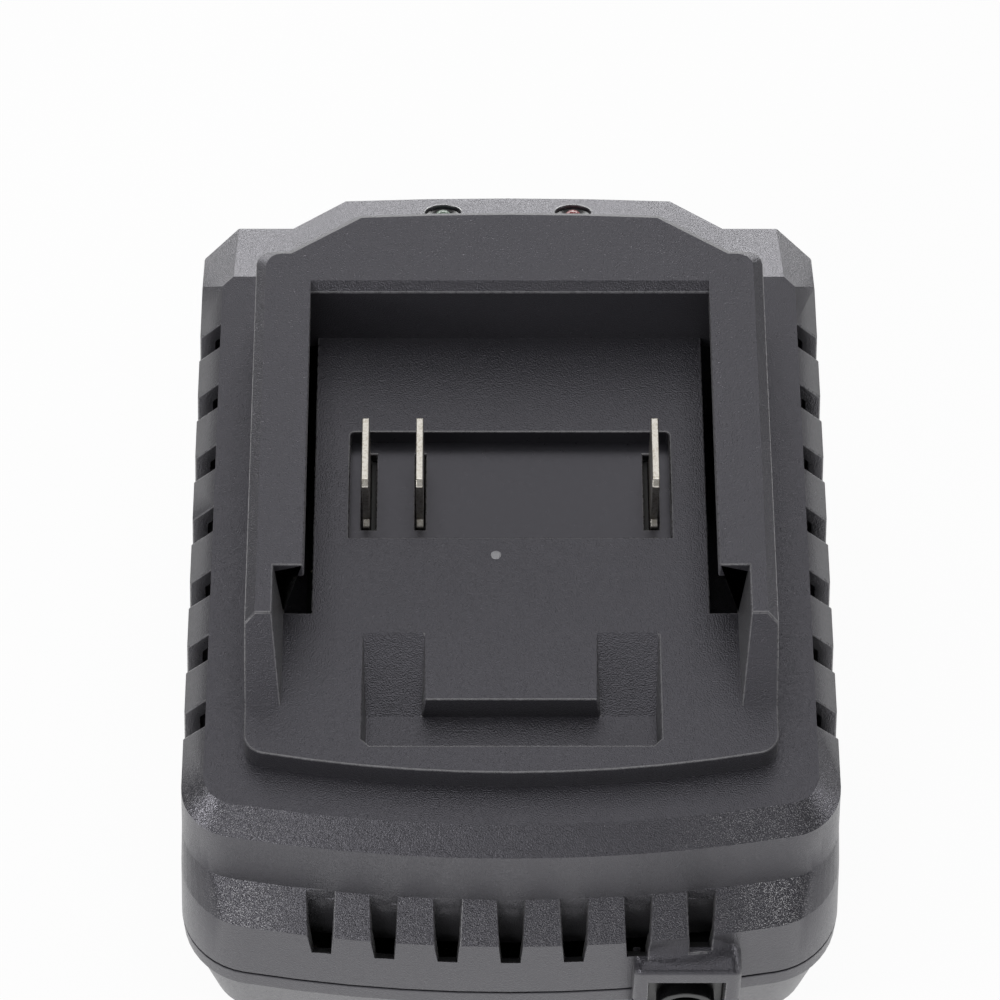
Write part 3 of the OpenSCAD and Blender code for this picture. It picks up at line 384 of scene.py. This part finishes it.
board = Finish("main_board_mask")
at = board.place()
copper = board.rise(cells(board, at, 0.16, "DISTANCE_TO_EDGE"), 0.03, 0.045)
via = board.rise(cells(board, at, 0.55, "F1"), 0.16, 0.12)
weave = board.noise(at, 2.5, 2.0)
off_middle = abs(board.axis(at, "Z") - (under_z + upper_z) / 2)
sawn_edge = board.rise(off_middle, 0.47 * board_t, 0.43 * board_t)
mask = board.blend(via * copper, board.blend(copper, bare_mask, mask_on_copper), via_tin)
main_board_mask = board.surface({
    "Base Color": board.blend(sawn_edge, mask, laminate),
    "Roughness": 0.28 + 0.3 * sawn_edge + 0.1 * weave,
    "Normal": board.bump(copper + 0.15 * weave, 0.02)})
ease(dress("main_board", main_board_mask), 0.08)

led_board_mask = matt_finish("led_board_mask", (0.012, 0.085, 0.035), 0.015, 0.35)
ease(dress("led_board", led_board_mask), 0.06)


# ---- Capacitors ----
# Two electrolytic cans in dark blue printed sleeves, soldered upright to the main board.
# A pale stripe marks the negative side, and the bare lid is scored with a cross to vent.
def can_finish(name, node, stripe_angle):
    sleeve_blue, stripe_grey = (0.008, 0.014, 0.045), (0.36, 0.37, 0.40)
    bare_lid, scored = (0.66, 0.67, 0.69), (0.20, 0.20, 0.21)
    half_stripe, lid_edge, half_score = 0.34, 0.82, 0.18
    low, high = (1000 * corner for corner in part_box(node))
    radius = (high.x - low.x) / 2
    skin = Finish(name)
    at = skin.place()
    dx, dy = skin.axis(at, "X") - (low.x + high.x) / 2, skin.axis(at, "Y") - (low.y + high.y) / 2
    out = skin.math("SQRT", dx * dx + dy * dy)
    along = dx * math.cos(stripe_angle) + dy * math.sin(stripe_angle)
    across = dy * math.cos(stripe_angle) - dx * math.sin(stripe_angle)
    stripe = (abs(across) < radius * half_stripe) * (along > 0)
    lid = skin.rise(skin.axis(at, "Z"), high.z - 0.5, high.z - 0.35) * (out < radius * lid_edge)
    cross = skin.math("MAXIMUM", abs(dx) < half_score, abs(dy) < half_score) * lid
    shade = skin.noise(at, 0.6, 2.0)
    can = skin.blend(lid, skin.blend(stripe, sleeve_blue, stripe_grey), bare_lid)
    return skin.surface({
        "Base Color": skin.blend(cross, can, scored),
        "Metallic": lid,
        "Roughness": 0.26 + 0.14 * shade,
        "Normal": skin.bump(shade - cross, 0.05)})


for name, finish_name, stripe_angle in (
        ("input_capacitor", "input_can", 0.6),
        ("output_capacitor", "output_can", 2.4)):
    ease(dress(name, can_finish(finish_name, name, stripe_angle)), 0.15)


# ---- Inductor ----
# The step-down converter's coil: enamelled copper wire, wound on a pressed ferrite core.
# The core is grey-black and slightly porous, and the enamel has a deep gloss.
ferrite = Finish("ferrite_core")
at = ferrite.place()
pores = ferrite.noise(at, 3.0, 4.0, 0.65)
ferrite_core = ferrite.surface({
    "Base Color": ferrite.blend(pores, (0.020, 0.020, 0.022), (0.052, 0.052, 0.055)),
    "Roughness": 0.45 + 0.25 * pores,
    "Normal": ferrite.bump(pores, 0.05)})
ease(dress("inductor_core", ferrite_core), 0.2)

enamel = Finish("enamelled_copper")
at = enamel.place()
varnish = enamel.noise(at, 0.9, 3.0)
enamelled_copper = enamel.surface({
    "Base Color": enamel.blend(varnish, (0.50, 0.17, 0.065), (0.72, 0.30, 0.12)),
    "Metallic": 1.0,
    "Roughness": 0.24 + 0.14 * varnish,
    "Coat Weight": 0.5,
    "Coat Roughness": 0.15,
    "Normal": enamel.bump(varnish, 0.01)})
dress("inductor_coil", enamelled_copper)


# ---- Fuse, chip, small parts and wire header ----
# The round fuse has a brown moulded case, and the charge controller is black epoxy.
# The small ceramic parts stand in two rows, with tinned ends. The header is natural nylon.
fuse_skin = Finish("fuse_case")
at = fuse_skin.place()
shade = fuse_skin.noise(at, 1.2, 3.0)
fuse_case = fuse_skin.surface({
    "Base Color": fuse_skin.blend(shade, (0.085, 0.035, 0.020), (0.125, 0.055, 0.032)),
    "Roughness": 0.38 + 0.2 * shade,
    "Normal": fuse_skin.bump(shade, 0.02)})
ease(dress("fuse", fuse_case), 0.1)

chip_black = matt_finish("chip_epoxy", (0.020, 0.020, 0.022), 0.015, 0.45)
ease(dress("controller_chip", chip_black), 0.04)

near_row_y, row_pitch = -17.05, 4.0
tan_ceramic, black_ceramic, tin_grey = (0.30, 0.20, 0.11), (0.05, 0.05, 0.055), (0.62, 0.61, 0.58)
ceramic = Finish("chip_parts")
at = ceramic.place()
off_row = ceramic.math("PINGPONG", ceramic.axis(at, "Y") - near_row_y + 8 * row_pitch, row_pitch / 2)
tin = ceramic.rise(off_row, 0.60, 0.66)
sort = ceramic.rise(ceramic.noise(at, 0.22, 0.0), 0.45, 0.55)
shade = ceramic.noise(at, 3.0, 2.0)
chip_parts = ceramic.surface({
    "Base Color": ceramic.blend(tin, ceramic.blend(sort, tan_ceramic, black_ceramic), tin_grey),
    "Metallic": tin,
    "Roughness": 0.32 + 0.2 * shade,
    "Normal": ceramic.bump(shade, 0.01)})
ease(dress("chip_components", chip_parts), 0.05)

nylon = Finish("header_nylon")
at = nylon.place()
shade = nylon.noise(at, 1.0, 2.0)
header_nylon = nylon.surface({
    "Base Color": nylon.blend(shade, (0.72, 0.70, 0.62), (0.80, 0.78, 0.71)),
    "Roughness": 0.42 + 0.16 * shade,
    "Normal": nylon.bump(nylon.noise(at, 5.0), 0.01)})
ease(dress("lead_header", header_nylon), 0.12)


# ---- Heat sink and power packages ----
# An extruded aluminium comb, with the die's fine lines up its fins.
# The transistor and the diode are black epoxy, screwed flat to its back.
comb = Finish("heat_sink_metal")
at = comb.place()
die_lines = comb.noise(comb.stretched(at, (1, 1, 0.03)), 5.0, 3.0, 0.6)
heat_sink_metal = comb.surface({
    "Base Color": comb.blend(die_lines, (0.56, 0.57, 0.59), (0.70, 0.71, 0.73)),
    "Metallic": 1.0,
    "Roughness": 0.30 + 0.2 * die_lines,
    "Normal": comb.bump(die_lines, 0.015)})
ease(dress("heat_sink", heat_sink_metal), 0.1)
for name in ("charge_transistor", "rectifier_diode"):
    ease(dress(name, chip_black), 0.12)


# ---- Lamps ----
# Two 3 mm lamps, green and red, behind black bezels pressed into the slope at the far end.
# Their epoxy is diffused, so unlit it looks milky.
def lamp_epoxy(name, milky, deep):
    skin = Finish(name)
    at = skin.place()
    haze = skin.noise(at, 0.8, 2.0)
    return skin.surface({
        "Base Color": skin.blend(haze, milky, deep),
        "Roughness": 0.16 + 0.1 * haze,
        "Transmission Weight": 0.25,
        "Subsurface Weight": 0.3,
        "Subsurface Radius": (0.001, 0.001, 0.001),
        "Normal": skin.bump(skin.noise(at, 2.0), 0.004)})


dress("led_green", lamp_epoxy("lamp_green", (0.24, 0.31, 0.25), (0.15, 0.22, 0.16)))
dress("led_red", lamp_epoxy("lamp_red", (0.40, 0.13, 0.13), (0.30, 0.08, 0.08)))
bezel_black = matt_finish("bezel_nylon", (0.012, 0.012, 0.013), 0.01, 0.3)
ease(dress("led_bezels", bezel_black), 0.1)


# ---- Wiring ----
# Leads of stranded wire with a PVC cover, extruded in one colour.
# A tight bend leaves faint waves in the cover.
def lead_cover(name, tone):
    skin = Finish(name)
    at = skin.place()
    wave = skin.noise(at, 0.8, 2.0)
    return skin.surface({
        "Base Color": skin.blend(wave, tuple(c * 0.82 for c in tone), tone),
        "Roughness": 0.34 + 0.14 * wave,
        "Normal": skin.bump(wave, 0.03)})


for name, slot, tone in (
        ("lead_positive", "wire_red", (0.36, 0.012, 0.010)),
        ("lead_sense", "wire_yellow", (0.62, 0.40, 0.015)),
        ("lead_negative", "wire_black", (0.014, 0.014, 0.014)),
        ("led_leads", "wire_black", (0.014, 0.014, 0.014))):
    dress(name, lead_cover(name + "_cover", tone))


# ---- Terminal block and blades ----
# Three nickelled blades stand in a black nylon block under the dock, each crimped to its lead.
# Their tops are sheared and chamfered so that the battery's clips ride on to them.
block_black = matt_finish("block_nylon", (0.020, 0.020, 0.021), 0.02, 0.45)
ease(dress("terminal_block", block_black), 0.15)
for name in ("blade_positive", "blade_sense", "blade_negative"):
    ease(dress(name, nickel), 0.12)


# ---- Upper casing ----
# One moulding of black ABS with the battery's dock on top: rails, lips, contact recess and latch recess.
# Its outer edges are rubbed smooth, so they are glossier than the grained faces; their paler colour is a
# painted highlight.
dock_floor_z = 63.9


def stands_in_dock(edge):
    """An edge at or over the dock's floor, with a wall or a steep chamfer beside it."""
    low, steep = (dock_floor_z - 0.1) / 1000, 0.4
    return edge.verts[0].co.z > low and min(face.normal.z for face in edge.link_faces) < steep


edge_skin = Finish("casing_edges")
at = edge_skin.place()
edge_mottle = edge_skin.noise(at, 1.1, 3.0, 0.6)
# painted highlight: the rounded edges are coloured paler than the faces, with a mottle
casing_edges = edge_skin.surface({
    "Base Color": edge_skin.blend(edge_skin.rise(edge_mottle, 0.35, 0.7), (0.080, 0.078, 0.086), (0.130, 0.127, 0.139)),
    "Roughness": 0.22 + 0.12 * edge_mottle,
    "IOR": 1.75,
    "Normal": edge_skin.bump(edge_mottle, 0.01)})
moulded("upper_casing", casing_black, edge_round, stands_in_dock, casing_edges)


# ---- Vent screen ----
# A curved strip of black ABS, 1.2 mm thick, bonded by its upper edge inside the near end's sloping step.
# It follows the bow of the wall, so that the seven slots show plain plastic and not the boards.
def closed_skin(name, loops):
    """A mesh through closed loops of points in millimetres, with a face over the first and the last."""
    form = bmesh.new()
    rings = [[form.verts.new([c / 1000 for c in point]) for point in loop] for loop in loops]
    for this, following in zip(rings, rings[1:]):
        for k in range(len(this)):
            form.faces.new((this[k - 1], this[k], following[k], following[k - 1]))
    form.faces.new(tuple(reversed(rings[0])))
    form.faces.new(rings[-1])
    bmesh.ops.recalc_face_normals(form, faces=form.faces)
    mesh = bpy.data.meshes.new(name)
    form.to_mesh(mesh)
    form.free()
    return mesh


screen_half_w, screen_near_y, wall_bow, half_steps = 33.5, -59.6, 240, 17
strip_outline = [(0.0, 28.6), (0.2, 28.4), (1.0, 28.4), (1.2, 28.6), (1.2, 40.9), (0.0, 39.8)]
loops = []
for k in range(-half_steps, half_steps + 1):
    x = screen_half_w * k / half_steps
    bow = wall_bow - math.sqrt(wall_bow ** 2 - x * x)
    loops.append([(x, screen_near_y + bow + y, z) for y, z in strip_outline])
vent_screen = put("vent_screen", closed_skin("vent_screen", loops))
screen_black = casing_finish("screen_plastic", (0.058, 0.057, 0.062), (0.066, 0.065, 0.070))
vent_screen.data.materials.append(screen_black)
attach(vent_screen, "root")


# ---- Gate mark ----
# The gate where the plastic entered the mould leaves a stub on the dock's floor.
# It was snapped off and scraped, which leaves a pale and rough spot, under 0.2 mm high.
gate_x, gate_y, sunk, sides = -2.2, -12.0, 0.02, 28
gate_outline = [(0.80, 0.00), (0.76, 0.05), (0.62, 0.10), (0.40, 0.09), (0.20, 0.13)]
turns = [2 * math.pi * k / sides for k in range(sides)]
loops = [[(
    gate_x + radius * (1 + 0.05 * math.sin(3 * turn)) * math.cos(turn),
    gate_y + radius * (1 + 0.04 * math.cos(2 * turn)) * math.sin(turn),
    dock_floor_z + height - sunk) for turn in turns] for radius, height in gate_outline]
gate_vestige = put("gate_vestige", closed_skin("gate_vestige", loops))
gate_vestige.data.shade_smooth()
scraped = Finish("scraped_plastic")
at = scraped.place()
scrape = scraped.noise(at, 3.0, 3.0, 0.6)
scraped_plastic = scraped.surface({
    "Base Color": scraped.blend(scrape, (0.36, 0.36, 0.38), (0.55, 0.55, 0.57)),
    "Roughness": 0.5 + 0.2 * scrape,
    "Normal": scraped.bump(scrape, 0.05)})
gate_vestige.data.materials.append(scraped_plastic)
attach(gate_vestige, "root")


# ---- Screws ----
# Zinc-plated steel: long ones from below hold the two casings together.
# Short ones hold the boards, the terminal block and the power packages.
zinc = plated("zinc_steel", (0.66, 0.67, 0.69), (0.48, 0.49, 0.52), 0.26)
for name in ("casing_screws", "board_screws", "led_board_screws", "terminal_screws", "heat_sink_screws"):
    ease(dress(name, zinc), 0.06)


# ---- Table ----
# A plain white table top. To the eye it is white all over, with the charger's faint shadow on it.
# In the charger's reflections and bounce light its white is a painted pool of light, an oval round the
# charger that fades to grey.
table_half, shadow_share = 6, 0.05
oval, pool_end, pool_start = (1.8, 1, 1), 330.0, 180.0
top_paint = Finish("white_table")
at = top_paint.place()
from_middle = top_paint.node("ShaderNodeVectorMath", {"operation": "LENGTH"}, {
    0: top_paint.stretched(at, oval)}, "Value")
# painted pool of light: white near the charger, grey further off
light_pool = top_paint.rise(from_middle, pool_end, pool_start)
eye, mirror, glass = (top_paint.node("ShaderNodeLightPath", {}, {}, "Is " + ray + " Ray")
                      for ray in ("Camera", "Glossy", "Transmission"))
plain = top_paint.node("ShaderNodeBsdfPrincipled", {}, {
    "Base Color": top_paint.blend(light_pool, (0.36, 0.36, 0.36), (0.88, 0.88, 0.88)),
    "Roughness": 1.0,
    "Specular IOR Level": 0.0})
white = top_paint.node("ShaderNodeEmission", {}, {"Color": (1, 1, 1, 1), "Strength": 1.0})
lit = top_paint.node("ShaderNodeMixShader", {}, {
    0: (eye + (mirror + glass) * light_pool) * (1 - shadow_share), 1: plain, 2: white})
top_paint.node("ShaderNodeOutputMaterial", {}, {"Surface": lit})
corners = [(x * table_half, y * table_half, 0) for x, y in ((-1, -1), (1, -1), (1, 1), (-1, 1))]
table = bpy.data.meshes.new("table")
table.from_pydata(corners, [], [(0, 1, 2, 3)])
table.materials.append(top_paint.owner)
table_top = put("table", table)


# ---- Room and softboxes ----
# A pale room that lights the charger little. Two wide softboxes hang overhead, and long ones stand
# low in front, behind and at the right. Three small ones stand at the left.
room_glow, seen_glow = 0.15, 1.0
room = Finish("room", bpy.data.worlds)
eye = room.node("ShaderNodeLightPath", {}, {}, "Is Camera Ray")
glow = room.node("ShaderNodeMapRange", {}, {"Value": eye, "To Min": room_glow, "To Max": seen_glow})
backdrop = room.node("ShaderNodeBackground", {}, {"Color": (1, 1, 1, 1), "Strength": glow})
room.node("ShaderNodeOutputWorld", {}, {"Surface": backdrop})
bpy.context.scene.world = room.owner

charger_middle = Vector((0, 0, 0.05))
for name, watts, size, at in (
        ("overhead", 3.6, (0.9, 0.9), (0, 0, 1.3)),
        ("overhead_far", 2.35, (0.9, 0.9), (0, 0.9, 1.1)),
        ("front", 2.3, (1.4, 0.4), (0, -1.3, 0.35)),
        ("front_left", 2.0, (0.35, 0.35), (-0.54, -1.16, 0.62)),
        ("near_left", 6.2, (0.35, 0.35), (-1.22, -0.57, 0.44)),
        ("right", 5.0, (1.0, 0.4), (1.3, 0, 0.35)),
        ("rear", 15.6, (1.8, 0.4), (0, 1.3, 0.22)),
        ("rear_left", 2.6, (0.35, 0.35), (-0.97, 0.97, 0.34))):
    lamp = bpy.data.lights.new(name, "AREA")
    lamp.shape = "RECTANGLE"
    lamp.size, lamp.size_y = size
    lamp.energy = watts
    softbox = put(name, lamp)
    softbox.location = at
    softbox.rotation_euler = (charger_middle - Vector(at)).to_track_quat("-Z", "Y").to_euler()


# ---- Camera ----
# A long lens over the jack end, 0.7 m from the charger, that looks down into the dock.
lens, sensor, near_limit, far_limit = 154.52, 36, 0.05, 20
camera_at = (-0.00517, -0.359644, 0.614592)
heading, tilt, roll = -0.0101, math.radians(33), 0.0083
camera = put("camera", bpy.data.cameras.new("camera"))
camera.data.sensor_width = sensor
camera.data.lens = lens
camera.data.clip_start = near_limit
camera.data.clip_end = far_limit
camera.matrix_world = (
    Matrix.Translation(camera_at)
    @ Matrix.Rotation(heading, 4, "Z")
    @ Matrix.Rotation(tilt, 4, "X")
    @ Matrix.Rotation(roll, 4, "Z"))
bpy.context.scene.camera = camera
bpy.context.scene.view_settings.view_transform = "Standard"
